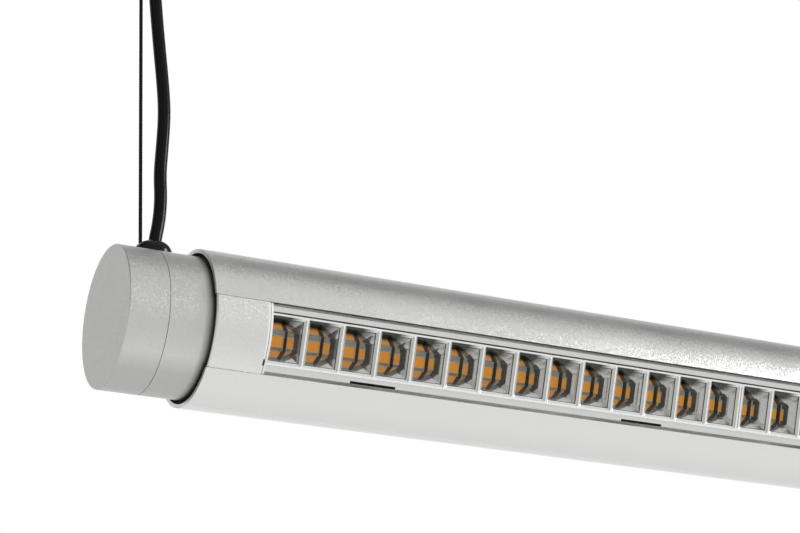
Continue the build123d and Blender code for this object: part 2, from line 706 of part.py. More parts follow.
def bush(side):
    with BuildPart() as piece:
        points = box_outline(BUSH_START, BUSH_END, BUSH_BORE_R, BUSH_R)
        revolve(outline(end_plane(side), points), axis=TUBE_AXIS)
        lug_plane = profile_span(side, BUSH_END, BUSH_END + STOP_LENGTH)
        lug_low = RING_R + FREE_CLEAR
        extrude(sector(lug_plane, lug_low, BUSH_R, 90, LUG_HALF), amount=STOP_LENGTH)
        with Locations(bush_screw_plane(side)):
            Cylinder(BUSH_SCREW_D / 2 + SEAT_CLEAR, 2 * TUBE_R, align=BOTTOM, mode=Mode.SUBTRACT)
    return piece.part


def bush_screws():
    with BuildPart() as piece:
        for side in SIDES.values():
            shank = BUSH_SCREW_LENGTH - BUSH_SCREW_HEAD_H
            with Locations(bush_screw_plane(side).offset(TUBE_R - BUSH_SCREW_LENGTH)):
                Cylinder(BUSH_SCREW_D / 2, shank, align=BOTTOM)
            with Locations(bush_screw_plane(side).offset(TUBE_R - BUSH_SCREW_HEAD_H)):
                Cone(BUSH_SCREW_D / 2, BUSH_SCREW_HEAD_D / 2, BUSH_SCREW_HEAD_H, align=BOTTOM)
    return piece.part


def end_panel(side):
    # a curved strip that fills the slot and seats on the bush
    with BuildPart() as piece:
        with BuildSketch(profile_span(side, PANEL_START, PANEL_END)):
            Circle(TUBE_R - PANEL_SINK)
            Circle(TUBE_BORE_R, mode=Mode.SUBTRACT)
            Rectangle(
                SLOT_WIDTH - 2 * PANEL_SIDE, 2 * TUBE_R,
                align=(Align.CENTER, Align.MIN), mode=Mode.INTERSECT,
            )
        extrude(amount=PANEL_LENGTH)
        arcs = piece.edges().filter_by(GeomType.CIRCLE)
        outer_arcs = arcs.filter_by(lambda edge: edge.radius > TUBE_R - PANEL_SINK - SEAT_CLEAR)
        chamfer(outer_arcs, PANEL_BEVEL)
    return piece.part


def engine_plate(side):
    with BuildPart() as piece:
        with BuildSketch(profile_span(side, PLATE_START, LIT_START)):
            Circle(TUBE_R - PLATE_SINK)
            with Locations((0, BED)):
                Rectangle(
                    SLOT_WIDTH - 2 * PLATE_SIDE, 2 * TUBE_R,
                    align=(Align.CENTER, Align.MIN), mode=Mode.INTERSECT,
                )
        extrude(amount=PLATE_T)
    return piece.part


# Light engine
def carrier():
    with BuildPart() as piece:
        with BuildSketch(profile_plane(-LIT_LENGTH / 2)):
            with Locations((0, BED)):
                Rectangle(2 * (SLOT_HALF - BASE_SIDE), CARRIER_BASE_T, align=(Align.CENTER, Align.MIN))
            for sign in (-1, 1):
                with Locations((sign * (RAIL_OUT - RAIL_T / 2), BED)):
                    Rectangle(RAIL_T, RAIL_TOP - BED, align=(Align.CENTER, Align.MIN))
        extrude(amount=LIT_LENGTH)
        with BuildSketch(face_plane(RAIL_TOP)):
            for middle in MODULE_MIDDLES:
                for notch in NOTCH_MIDDLES:
                    with Locations((middle + notch, -RAIL_OUT)):
                        Rectangle(NOTCH_LENGTH, 2 * NOTCH_DEPTH)
        extrude(amount=-NOTCH_H, mode=Mode.SUBTRACT)
        with BuildSketch(face_plane(BED)):
            with Locations(*BOARD_SCREW_PLACES):
                Circle(BOARD_SCREW_D / 2 + SEAT_CLEAR)
        extrude(amount=CARRIER_BASE_T, mode=Mode.SUBTRACT)
    return piece.part


def rail_clips():
    # two clips side by side in each notch of the lower rail
    with BuildPart() as piece:
        length = (NOTCH_LENGTH - CLIP_GAP) / 2 - SEAT_CLEAR
        width = NOTCH_DEPTH - SEAT_CLEAR
        with BuildSketch(face_plane(RAIL_TOP - NOTCH_H)):
            for middle in MODULE_MIDDLES:
                for notch in NOTCH_MIDDLES:
                    for sign in (-1, 1):
                        clip_middle = middle + notch + sign * (length + CLIP_GAP) / 2
                        with Locations((clip_middle, width / 2 - RAIL_OUT)):
                            Rectangle(length, width)
        extrude(amount=NOTCH_H)
    return piece.part


def led_board():
    # one board, at the middle of the tube
    with BuildPart() as piece:
        with BuildSketch(face_plane(BASE_TOP)):
            Rectangle(LOUVRE_LENGTH, BOARD_WIDTH)
            with Locations(*[(x, 0) for x in BOARD_SCREW_MIDDLES]):
                Circle(BOARD_SCREW_D / 2 + SEAT_CLEAR, mode=Mode.SUBTRACT)
        extrude(amount=BOARD_T)
    return piece.part


def led_chips():
    with BuildPart() as piece:
        cells = [middle + cell for middle in MODULE_MIDDLES for cell in CELL_MIDDLES]
        with BuildSketch(face_plane(BOARD_TOP)):
            with Locations(*[(cell + LED_ALONG, LED_ACROSS) for cell in cells]):
                Rectangle(LED_SIZE, LED_SIZE)
        extrude(amount=LED_H)
    return piece.part


def board_screws():
    with BuildPart() as piece:
        with BuildSketch(face_plane(BOARD_TOP)):
            with Locations(*BOARD_SCREW_PLACES):
                Circle(BOARD_SCREW_HEAD_D / 2)
        extrude(amount=BOARD_SCREW_HEAD_H)
        with BuildSketch(face_plane(BOARD_TOP)):
            with Locations(*BOARD_SCREW_PLACES):
                Circle(BOARD_SCREW_D / 2)
        extrude(amount=-BOARD_SCREW_LENGTH)
    return piece.part


def louvre_cell():
    # the hollow of one cell: a pocket round the LED, flat leaning walls and a flared lip
    with BuildPart() as piece:
        with BuildSketch(face_plane(BOARD_TOP)):
            Rectangle(CELL_BASE, CELL_BASE)
        extrude(amount=POCKET_TOP - BOARD_TOP)
        with BuildSketch(face_plane(POCKET_TOP)):
            Rectangle(CELL_BASE, CELL_BASE)
        with BuildSketch(face_plane(LIP_LOW)):
            Rectangle(LIP_ALONG, LIP_ACROSS)
        loft(ruled=True)
        with BuildSketch(face_plane(LIP_LOW)):
            Rectangle(LIP_ALONG, LIP_ACROSS)
        with BuildSketch(face_plane(LOUVRE_TOP)):
            Rectangle(MOUTH_ALONG, MOUTH_ACROSS)
        loft(ruled=True)
    return piece.part


def louvre():
    # one module, at the middle of the tube, with grooves behind its dividers and ears at its sides
    cell = louvre_cell()
    with BuildPart() as piece:
        with BuildSketch(face_plane(BOARD_TOP)):
            Rectangle(LOUVRE_LENGTH, LOUVRE_WIDTH)
        extrude(amount=LOUVRE_H)
        with Locations(*[(x, 0, 0) for x in CELL_MIDDLES]):
            add(cell, mode=Mode.SUBTRACT)
        groove_half = (PITCH - CELL_BASE) / 2 - FOOT
        side_plane = Plane(
            origin=Vector(0, 0, AXIS_Z) + ACROSS * (LOUVRE_WIDTH / 2), x_dir=(1, 0, 0), z_dir=-ACROSS
        )
        for x in DIVIDER_MIDDLES:
            points = [
                (x - groove_half, BOARD_TOP),
                (x + groove_half, BOARD_TOP),
                (x, BOARD_TOP + GROOVE_RISE),
            ]
            extrude(outline(side_plane, points), amount=LOUVRE_WIDTH, mode=Mode.SUBTRACT)
        ear_reach = 2 * (RAIL_IN - SEAT_CLEAR)
        for x in NOTCH_MIDDLES:
            for ear_x in (x - PITCH / 2, x + PITCH / 2):
                for sign in (-1, 1):
                    ear_middle = sign * (LOUVRE_WIDTH + ear_reach) / 4
                    with BuildSketch(face_plane(BOARD_TOP)):
                        with Locations((ear_x, ear_middle)):
                            Rectangle(EAR_LENGTH - PITCH, (ear_reach - LOUVRE_WIDTH) / 2)
                    extrude(amount=EAR_H)
    return piece.part


# Driver, inner terminal block and the lead from one to the other
def driver_case():
    # lies on the tube's back wall, between the two rails
    with BuildPart() as piece:
        with BuildSketch(face_plane(DRIVER_LOW)):
            RectangleRounded(DRIVER_LENGTH, DRIVER_WIDTH, DRIVER_EDGE)
        extrude(amount=DRIVER_H)
    return piece.part


def terminal_block():
    with BuildPart() as piece:
        middle = end_x(LEFT, BLOCK_START + BLOCK_LENGTH / 2)
        with BuildSketch(face_plane(BED)):
            with Locations((middle, 0)):
                Rectangle(BLOCK_LENGTH, BLOCK_WIDTH)
        extrude(amount=-(BED + BLOCK_BELOW))
        with Locations(along_tube(end_x(LEFT, BLOCK_START))):
            Cylinder(CORD_R + FREE_CLEAR, BLOCK_BORE_DEPTH, align=BOTTOM, mode=Mode.SUBTRACT)
    return piece.part


def driver_lead():
    # along the carrier's underside, then down into the driver
    with BuildPart() as piece:
        height = BED - LEAD_D / 2 - SEAT_CLEAR
        start = Vector(end_x(LEFT, BLOCK_START + BLOCK_LENGTH), 0, AXIS_Z) + OUT * height
        corner = Vector(LEAD_OVERLAP - DRIVER_LENGTH / 2, 0, AXIS_Z) + OUT * height
        end = corner + OUT * (DRIVER_TOP - height)
        with BuildLine() as route:
            FilletPolyline(start, corner, end, radius=LEAD_BEND_R)
        with BuildSketch(Plane(origin=start, z_dir=corner - start)):
            Circle(LEAD_D / 2)
        sweep(path=route.line)
    return piece.part


# Ceiling side
def ceiling_plate(side):
    with BuildPart() as piece:
        x = end_x(side, CORD_IN)
        with Locations((x, 0, -CEILING_PLATE_RIM_H)):
            Cylinder(CEILING_PLATE_R, CEILING_PLATE_RIM_H, align=BOTTOM)
            Cylinder(
                CEILING_PLATE_R - CEILING_PLATE_T, CEILING_PLATE_RIM_H - CEILING_PLATE_T,
                align=BOTTOM, mode=Mode.SUBTRACT,
            )
        with Locations((x, -SCREW_SPACING / 2, 0), (x, SCREW_SPACING / 2, 0)):
            Cylinder(SCREW_HOLE_D / 2, 4 * CEILING_PLATE_T, mode=Mode.SUBTRACT)
        if side == LEFT:
            with Locations((x, MAINS_HOLE_OUT, 0)):
                Cylinder(MAINS_HOLE_D / 2, 4 * CEILING_PLATE_T, mode=Mode.SUBTRACT)
        with Locations(Plane(origin=(x, 0, -CANOPY_SCREW_DROP), z_dir=(0, 1, 0))):
            Cylinder(CANOPY_SCREW_D / 2 + SEAT_CLEAR, 2 * CANOPY_D, mode=Mode.SUBTRACT)
    return piece.part


def canopy(side):
    with BuildPart() as piece:
        x = end_x(side, CORD_IN)
        points = [
            (CEILING_NECK_D / 2 + SEAT_CLEAR, -CANOPY_H),
            (CANOPY_R - CANOPY_EDGE, -CANOPY_H),
            (CANOPY_R, -CANOPY_H + CANOPY_EDGE),
            (CANOPY_R, 0),
            (CANOPY_BORE_R, 0),
            (CANOPY_BORE_R, -CANOPY_H + CANOPY_BASE_T),
            (CEILING_NECK_D / 2 + SEAT_CLEAR, -CANOPY_H + CANOPY_BASE_T),
        ]
        revolve(outline(upright_plane(x), points), axis=plumb_axis(x))
        with Locations(Plane(origin=(x, 0, -CANOPY_SCREW_DROP), z_dir=(0, 1, 0))):
            Cylinder(CANOPY_SCREW_D / 2 + SEAT_CLEAR, 2 * CANOPY_D, mode=Mode.SUBTRACT)
    return piece.part


def canopy_screws():
    with BuildPart() as piece:
        for side in SIDES.values():
            for sign in (-1, 1):
                seat = (end_x(side, CORD_IN), sign * CANOPY_R, -CANOPY_SCREW_DROP)
                with Locations(Plane(origin=seat, z_dir=(0, -sign, 0))):
                    Cylinder(CANOPY_SCREW_D / 2, CANOPY_SCREW_LENGTH, align=BOTTOM)
    return piece.part


def swing_hole(x, radius):
    # room for a wire or a cord that swings about its round end, with a snug hole for its tail above
    lean = math.radians(SWING)
    mouth = radius / math.cos(lean) + PIVOT_RISE * math.tan(lean) + FREE_CLEAR
    pocket_top = PIVOT_Z + radius + FREE_CLEAR
    return [
        (x, FLANGE_BOTTOM),
        (x + mouth, FLANGE_BOTTOM),
        (x + radius + FREE_CLEAR, PIVOT_Z),
        (x + radius + FREE_CLEAR, pocket_top),
        (x + radius + SEAT_CLEAR, pocket_top),
        (x + radius + SEAT_CLEAR, NECK_TOP),
        (x, NECK_TOP),
    ]


def canopy_grommet(side, has_cord):
    with BuildPart() as piece:
        x = end_x(side, CORD_IN)
        lip_low = -CANOPY_H + CANOPY_BASE_T + SEAT_CLEAR
        lip_r = CEILING_NECK_D / 2 + CEILING_LIP
        points = [
            (0, FLANGE_BOTTOM),
            (CEILING_FLANGE_D / 2, FLANGE_BOTTOM),
            (CEILING_FLANGE_D / 2, -CANOPY_H),
            (CEILING_NECK_D / 2, -CANOPY_H),
            (CEILING_NECK_D / 2, lip_low),
            (lip_r, lip_low),
            (CEILING_NECK_D / 2, lip_low + CEILING_LIP_H),
            (CEILING_NECK_D / 2, NECK_TOP),
            (0, NECK_TOP),
        ]
        revolve(outline(upright_plane(x), points), axis=plumb_axis(x))
        wire_x = end_x(side, WIRE_IN)
        hole = outline(upright_plane(0), swing_hole(wire_x, WIRE_R))
        revolve(hole, axis=plumb_axis(wire_x), mode=Mode.SUBTRACT)
        if has_cord:
            hole = outline(upright_plane(0), swing_hole(x, CORD_R))
            revolve(hole, axis=plumb_axis(x), mode=Mode.SUBTRACT)
    return piece.part


def wire_gripper(side):
    with BuildPart() as piece:
        low = -CEILING_PLATE_T - GRIPPER_LENGTH
        with Locations((end_x(side, WIRE_IN), 0, low)):
            Cylinder(GRIPPER_D / 2, GRIPPER_LENGTH, align=BOTTOM)
            Cylinder(WIRE_R + SEAT_CLEAR, TAIL_GRIP + FREE_CLEAR, align=BOTTOM, mode=Mode.SUBTRACT)
    return piece.part


def wire_tails():
    with BuildPart() as piece:
        for side in SIDES.values():
            low = PIVOT_Z + WIRE_R + FREE_CLEAR
            high = -CEILING_PLATE_T - GRIPPER_LENGTH + TAIL_GRIP
            with Locations((end_x(side, WIRE_IN), 0, low)):
                Cylinder(WIRE_R, high - low, align=BOTTOM)
    return piece.part


def ceiling_block():
    with BuildPart() as piece:
        near = end_x(LEFT, CORD_IN) - CEILING_BLOCK_BACK
        low = -CEILING_PLATE_T - CEILING_BLOCK_H
        with Locations((near + CEILING_BLOCK_LENGTH / 2, 0, low)):
            Box(CEILING_BLOCK_LENGTH, CEILING_BLOCK_WIDTH, CEILING_BLOCK_H, align=BOTTOM)
        with Locations((end_x(LEFT, CORD_IN), 0, low)):
            Cylinder(CORD_R + SEAT_CLEAR, CEILING_INLET, align=BOTTOM, mode=Mode.SUBTRACT)
    return piece.part


def cord_ceiling_tail():
    with BuildPart() as piece:
        low = PIVOT_Z + CORD_R + FREE_CLEAR
        high = -CEILING_PLATE_T - CEILING_BLOCK_H + CEILING_INLET
        with Locations((end_x(LEFT, CORD_IN), 0, low)):
            Cylinder(CORD_R, high - low, align=BOTTOM)
    return piece.part


# Every piece in its own file
for word, end_side in SIDES.items():
    corded = end_side == LEFT
    write(hub(end_side, corded), f"{word}_hub")
    write(end_cap(end_side), f"{word}_end_cap")
    write(friction_washer(end_side), f"{word}_friction_washer")
    write(retaining_ring(end_side), f"{word}_retaining_ring")
    write(grommet(end_side, corded), f"{word}_grommet")
    write(anchor_bracket(end_side), f"{word}_anchor_bracket")
    write(suspension_wire(end_side), f"{word}_suspension_wire")
    write(bush(end_side), f"{word}_bush")
    write(end_panel(end_side), f"{word}_end_panel")
    write(engine_plate(end_side), f"{word}_engine_plate")
    write(ceiling_plate(end_side), f"{word}_ceiling_plate")
    write(canopy(end_side), f"{word}_canopy")
    write(canopy_grommet(end_side, corded), f"{word}_canopy_grommet")
    write(wire_gripper(end_side), f"{word}_wire_gripper")

write(cap_grub_screws(), "cap_grub_screws")
write(anchor_screws(), "anchor_screws")
write(wire_ferrules(), "wire_ferrules")
write(power_cord(), "power_cord")
write(cord_tail(), "cord_tail")
write(cord_gland(), "cord_gland")
write(gland_screws(), "gland_screws")
write(tube(), "tube")
write(bush_screws(), "bush_screws")
write(carrier(), "carrier")
write(rail_clips(), "rail_clips")
write(led_chips(), "led_chips")
write(board_screws(), "board_screws")
write(driver_case(), "driver_case")
write(terminal_block(), "terminal_block")
write(driver_lead(), "driver_lead")
write(canopy_screws(), "canopy_screws")
write(wire_tails(), "wire_tails")
write(ceiling_block(), "ceiling_block")
write(cord_ceiling_tail(), "cord_ceiling_tail")

board = led_board()
module = louvre()
for number, middle in enumerate(MODULE_MIDDLES, start=1):
    write(board.moved(Location((middle, 0, 0))), f"led_board_{number}")
    write(module.moved(Location((middle, 0, 0))), f"louvre_{number}")
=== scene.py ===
import json
import math

import bpy
from mathutils import Matrix, Vector


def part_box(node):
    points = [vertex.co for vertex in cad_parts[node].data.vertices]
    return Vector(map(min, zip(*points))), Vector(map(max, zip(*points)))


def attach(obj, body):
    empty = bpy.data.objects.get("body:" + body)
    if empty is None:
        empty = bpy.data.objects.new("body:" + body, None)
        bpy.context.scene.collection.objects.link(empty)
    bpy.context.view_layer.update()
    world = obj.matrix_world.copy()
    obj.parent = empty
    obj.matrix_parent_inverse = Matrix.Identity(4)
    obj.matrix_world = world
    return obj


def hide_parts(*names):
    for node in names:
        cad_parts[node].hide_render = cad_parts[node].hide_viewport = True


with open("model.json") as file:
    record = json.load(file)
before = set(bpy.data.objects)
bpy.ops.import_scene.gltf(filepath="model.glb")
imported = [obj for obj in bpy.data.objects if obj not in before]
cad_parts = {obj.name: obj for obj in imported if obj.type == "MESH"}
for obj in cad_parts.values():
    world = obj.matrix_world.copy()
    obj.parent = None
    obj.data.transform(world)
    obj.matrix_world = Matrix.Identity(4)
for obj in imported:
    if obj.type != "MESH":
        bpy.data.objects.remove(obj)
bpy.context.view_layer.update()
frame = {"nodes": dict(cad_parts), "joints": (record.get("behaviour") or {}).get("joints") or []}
nodes = frame["nodes"]
joints = {joint["name"]: joint for joint in frame["joints"]}

# Places that the frame gives, in metres
AXIS_Z = joints["turn"]["pos_m"][2]
PIVOT_Z = joints["swing"]["pos_m"][2]
LEFT_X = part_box("left_end_cap")[0].x
RIGHT_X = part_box("right_end_cap")[1].x
MM = 0.001

# Camera, from its place beside the lamp's left end
CAMERA_PLACE = Vector((-233.449, -686.020, -326.292)) * MM
CAMERA_RIGHT = Vector((0.89710, -0.43909, -0.04910))
CAMERA_UP = Vector((-0.14876, -0.40482, 0.90221))
LENS = 96.77
SENSOR = 36.0
SHIFT_UP = 0.00075

# Directions in the stored pose: out of the slot, across it, along the lamp and up
AIM = math.radians(24)
OUT = Vector((0, -math.cos(AIM), -math.sin(AIM)))
ACROSS = Vector((0, -math.sin(AIM), math.cos(AIM)))
ALONG = Vector((1, 0, 0))
UP = Vector((0, 0, 1))

# Width over which a painted edge changes
EDGE_BLUR = 0.05 * MM

# Louvres: heights out from the tube's axis
LOUVRE_TOP = 24.5 * MM
RIM_BLUR = 0.02 * MM
LIP_LOW = 23.8 * MM
# a painted shadow line under the lip, at this height
SHADOW_LINE_PLACE = 23.5 * MM
SHADOW_LINE_HALF = 0.22 * MM
HAZE_LOW = 21.5 * MM
# heights from which the upper walls take a painted dark reflection
SHADY_LOW = 18.2 * MM
SHADY_HIGH = 20.6 * MM
# heights where the walls between cells take a painted pale reflection
PAINTED_PALE_LOW = 22.4 * MM
PAINTED_PALE_HIGH = 24.2 * MM
POCKET_TOP = 15.2 * MM
EAR_TOP = 13.85 * MM

# Louvres: places across the slot
POCKET_HALF = 3.9 * MM
CELL_HALF = 4.1 * MM
MOUTH_HALF = 8.4 * MM
MOUTH_BLUR = 0.1 * MM

# Modules of a louvre and a board, and cells along a louvre, which is longer than them by one divider
MODULES = 5
CELLS_IN_LOUVRE = 14
DIVIDER = 1.1 * MM
LOUVRE_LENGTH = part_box("louvre_1")[1].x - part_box("louvre_1")[0].x
PITCH = (LOUVRE_LENGTH - DIVIDER) / CELLS_IN_LOUVRE
PITCHES_IN_LOUVRE = LOUVRE_LENGTH / PITCH

# Louvres: shares of a cell, for the painted dark reflection on the upper walls and the painted highlight
# on the dividers' rims
PAINTED_DARK_TO = 0.55
BRIGHT_FROM = 0.92
HIGHLIGHT_LINE_HALF = 0.020
HIGHLIGHT_LINE_BLUR = 0.004

# Louvres: the skin's noise
LOUVRE_SKIN_SCALE = 300.0

# LED packages
LED_TOP = 13.9 * MM
PHOSPHOR_DEEP = 0.2 * MM
PHOSPHOR_PLACE = -0.47 * MM
PHOSPHOR_HALF = 1.95 * MM
PHOSPHOR_BLUR = 0.08 * MM
# strength of a painted glow on the phosphor, though the LEDs are unlit
PAINTED_GLOW = 0.08
LED_SKIN_SCALE = 1800.0
LED_BUMP = 0.15

# End panels: a painted highlight on the cut edge, and a notch beside the lit slot painted black as shade
CUT_EDGE = 0.8 * MM
CUT_BLUR = 0.1 * MM
NOTCH_PLACE = -8.95 * MM
NOTCH_HALF = 1.15 * MM
NOTCH_DEPTH = 0.75 * MM

# Hubs: painted shade darkening the underside, and distances out from the tube's end for the sparkle and
# a ring of painted shade
PAINTED_SHADE_LOW = -24.3 * MM
PAINTED_SHADE_HIGH = -20.0 * MM
PAINTED_SHADE_LEVEL = 0.8
TOP_LEVEL = 1.06
SPARKLE_FROM = 1.0 * MM
SPARKLE_FULL = 5.0 * MM
HUB_TILT = 0.33
SHADE_RING_LEVEL = 0.3
SHADE_RING_DARK = 0.3 * MM
SHADE_RING_CLEAR = 3.2 * MM

# How squarely a face looks along a direction, where a painted part begins and where it is full
DISC_FROM = 0.8
DISC_FULL = 0.9
DIVIDER_FROM = 0.4
DIVIDER_FULL = 0.6
UPPER_WALL_FROM = -0.3
UPPER_WALL_FULL = -0.5

# Blasted metal: facets in a metre, how far each is tilted, and large clouds
FACETS = 3300.0
FACET_TILT = 0.24
CLOUD_SCALE = 45.0
CLOUD_SHADE = 0.01
CLOUD_ROUGHNESS = 0.03

# Uneven skin of paint, plastic and plated metal
SKIN_DETAIL = 3.0
SKIN_SCALE = 900.0
SKIN_SHADE = 0.05
SKIN_ROUGHNESS = 0.12
SKIN_BUMP = 0.2
SKIN_DEPTH = 0.02 * MM

# Trim in the gap beside the louvres' lower edges
RAIL_INNER = 10.2 * MM
LOUVRE_HALF = 9.6 * MM
TRIM_LOW = 22.4 * MM
TRIM_HIGH = 23.9 * MM
TRIM_CLEAR = 0.02 * MM

# Power cord: inward place from the left disc face and height above the tube's axis, in millimetres
CORD_D = 5.0 * MM
CORD_ROUTE = [
    (18.8, 26.5),
    (18.8, 32.5),
    (20.75, 42.0),
    (21.6, 52.0),
    (21.2, 63.0),
    (22.2, 75.0),
    (23.2, 90.0),
    (22.4, 104.0),
    (21.0, 120.0),
    (19.6, 138.0),
    (18.8, 153.0),
    (18.8, 168.5),
]

# Suspension wires: a core and strands laid round it
WIRE_D = 1.3 * MM
WIRE_IN = 13.4 * MM
STRANDS = 6
STRAND_SWELL = 1.35
STRAND_SIDES = 8
LAY = 6.5 * MM
RINGS_IN_A_LAY = 14

# Floor, softbox and world, in metres and watts
FLOOR_HALF = 8.0
FLOOR_Z = -1.6
FLOOR_SEEN_GLOW = 0.3
FLOOR_MIRRORED_GLOW = 0.13
SOFTBOX_PLACE = (1.5, -1.0, 0.7)
SOFTBOX_TARGET = (-0.3, 0, AXIS_Z)
SOFTBOX_SIDE = 0.6
SOFTBOX_POWER = 20
WORLD_LEVEL = 0.85

# What metal mirrors of the world: levels, and parts of a direction, from -1 to 1, where they change
OVERHEAD_LEVEL = 0.85
STRIP_LEVEL = 0.12
STRIP_Y = 0.14
STRIP_NEAR = 0.05
STRIP_FAR = 0.5
OVERHEAD_FROM = 0.1
OVERHEAD_FULL = 0.45
LEFT_LEVEL = 0.68
LEFT_FULL = -0.45
LEFT_FROM = -0.1
FRONT_LEVEL = 0.76
FRONT_FULL = -0.7
FRONT_FROM = 0.0


def new_object(name, data):
    piece = bpy.data.objects.new(name, data)
    bpy.context.scene.collection.objects.link(piece)
    return piece


def place_camera():
    camera_data = bpy.data.cameras.new("camera")
    camera_data.lens = LENS
    camera_data.sensor_width = SENSOR
    camera_data.shift_y = SHIFT_UP
    camera_data.clip_start = 0.01
    camera_data.clip_end = 100
    camera = new_object("camera", camera_data)
    right = CAMERA_RIGHT.normalized()
    up = (CAMERA_UP - CAMERA_UP.dot(right) * right).normalized()
    turn = Matrix((right, up, right.cross(up))).transposed()
    camera.matrix_world = Matrix.Translation(CAMERA_PLACE + Vector((LEFT_X, 0, AXIS_Z))) @ turn.to_4x4()
    bpy.context.scene.camera = camera


def route_curve(name, points, radius):
    # a round bevel of 1 m is scaled by each point's radius, which the curve's box takes in too
    curve = bpy.data.curves.new(name, "CURVE")
    curve.dimensions = "3D"
    curve.resolution_u = 16
    spline = curve.splines.new("NURBS")
    spline.points.add(len(points) - 1)
    for point, place in zip(spline.points, points):
        point.co = (*place, 1)
        point.radius = radius
    spline.order_u = 3
    spline.use_endpoint_u = True
    return curve


def line_points(curve):
    # the points of a curve that has no bevel
    probe = new_object("probe", curve)
    bpy.context.view_layer.update()
    mesh = bpy.data.meshes.new_from_object(probe.evaluated_get(bpy.context.evaluated_depsgraph_get()))
    points = [vertex.co.copy() for vertex in mesh.vertices]
    bpy.data.objects.remove(probe)
    bpy.data.meshes.remove(mesh)
    return points


def line_length(points):
    return sum((b - a).length for a, b in zip(points, points[1:]))


def power_cord():
    points = [(LEFT_X + inward * MM, 0, AXIS_Z + height * MM) for inward, height in CORD_ROUTE]
    curve = route_curve("cord", points, CORD_D / 2)
    length = line_length(line_points(curve))
    curve.bevel_depth = 1.0
    curve.bevel_resolution = 8
    curve.use_fill_caps = True
    piece = new_object("cord", curve)
    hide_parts("power_cord")
    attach(piece, "suspension")
    return piece


def wire(side_name, x):
    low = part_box(f"{side_name}_suspension_wire")[0].z
    route_points = [(x, 0, low + (PIVOT_Z - low) * i / 3) for i in range(4)]
    path = line_points(route_curve(f"{side_name}_wire_route", route_points, WIRE_D / 2))
    length = line_length(path)
    # three strands side by side make up the wire's diameter
    strand_step = WIRE_D / 3
    strand_d = strand_step * STRAND_SWELL
    rings = int(length / LAY * RINGS_IN_A_LAY)
    vertices = []
    faces = []
    for strand in range(STRANDS + 1):
        first = len(vertices)
        off_axis = 0 if strand == STRANDS else strand_step
        lean = math.atan(math.tau * off_axis / LAY)
        for ring in range(rings + 1):
            share = ring / rings
            angle = math.tau * (share * length / LAY + strand / STRANDS)
            outward = Vector((math.cos(angle), math.sin(angle), 0))
            round_way = Vector((-math.sin(angle), math.cos(angle), 0)) * math.cos(lean)
            round_way -= Vector((0, 0, math.sin(lean)))
            centre = path[0].lerp(path[-1], share) + outward * off_axis
            for side in range(STRAND_SIDES):
                turn = math.tau * side / STRAND_SIDES
                spoke = outward * math.cos(turn) + round_way * math.sin(turn)
                vertices.append(centre + spoke * strand_d / 2)
        for ring in range(rings):
            for side in range(STRAND_SIDES):
                a = first + ring * STRAND_SIDES + side
                b = first + ring * STRAND_SIDES + (side + 1) % STRAND_SIDES
                faces.append((a, b, b + STRAND_SIDES, a + STRAND_SIDES))
        faces.append([first + side for side in reversed(range(STRAND_SIDES))])
        faces.append([first + rings * STRAND_SIDES + side for side in range(STRAND_SIDES)])
    mesh = bpy.data.meshes.new(f"{side_name}_wire")
    mesh.from_pydata(vertices, [], faces)
    mesh.shade_smooth()
    piece = new_object(f"{side_name}_wire", mesh)
    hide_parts(f"{side_name}_suspension_wire")
    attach(piece, "suspension")
    return piece


def gap_strip():
    # thin bright strip that closes the gap between the louvres' lower edges and the lower rail;
    # its middle is the lamp's, so its ends mirror each other
    lit_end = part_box("left_engine_plate")[1].x + TRIM_CLEAR
    vertices = []
    for x in (lit_end, -lit_end):
        for across in (-RAIL_INNER + TRIM_CLEAR, -LOUVRE_HALF - TRIM_CLEAR):
            for out in (TRIM_LOW, TRIM_HIGH):
                vertices.append(Vector((x, 0, AXIS_Z)) + ACROSS * across + OUT * out)
    faces = [(0, 1, 3, 2), (4, 6, 7, 5), (0, 4, 5, 1), (2, 3, 7, 6), (0, 2, 6, 4), (1, 5, 7, 3)]
    mesh = bpy.data.meshes.new("gap_strip")
    mesh.from_pydata(vertices, [], faces)
    piece = new_object("gap_strip", mesh)
    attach(piece, "lamp_tube")
    return piece


# Materials
def node_of(tree, kind, inputs=None, **settings):
    node = tree.nodes.new(kind)
    for name, value in settings.items():
        setattr(node, name, value)
    for name, value in (inputs or {}).items():
        node.inputs[name].default_value = value
    return node


def new_material(name, **values):
    material = bpy.data.materials.new(name)
    material.use_nodes = True
    shader = material.node_tree.nodes["Principled BSDF"]
    for key, value in values.items():
        shader.inputs[key.replace("_", " ")].default_value = value
    return material, material.node_tree, shader


def object_noise(tree, scale, detail=2.0):
    place = node_of(tree, "ShaderNodeTexCoord")
    noise = node_of(tree, "ShaderNodeTexNoise", {"Scale": scale, "Detail": detail})
    tree.links.new(place.outputs["Object"], noise.inputs["Vector"])
    return noise.outputs["Fac"]


def spread(tree, value, low, high, low_in=0.3, high_in=0.7):
    # a value moved from one range, which is that of a noise if none is given, to another
    ends = {"From Min": low_in, "From Max": high_in, "To Min": low, "To Max": high}
    reach = node_of(tree, "ShaderNodeMapRange", ends)
    tree.links.new(value, reach.inputs["Value"])
    return reach.outputs["Result"]


def shaded(tree, colour, value, low, high):
    # a colour, darker and lighter with a value
    factor = spread(tree, value, low, high)
    scale = node_of(tree, "ShaderNodeVectorMath", operation="SCALE")
    scale.inputs[0].default_value = colour
    tree.links.new(factor, scale.inputs["Scale"])
    return scale.outputs["Vector"]


def even_colour(tree, colour):
    # a colour that is the same everywhere
    return node_of(tree, "ShaderNodeCombineXYZ", dict(zip("XYZ", colour))).outputs["Vector"]


def shade_by(tree, shader, colour, value, low, high):
    tree.links.new(shaded(tree, colour, value, low, high), shader.inputs["Base Color"])


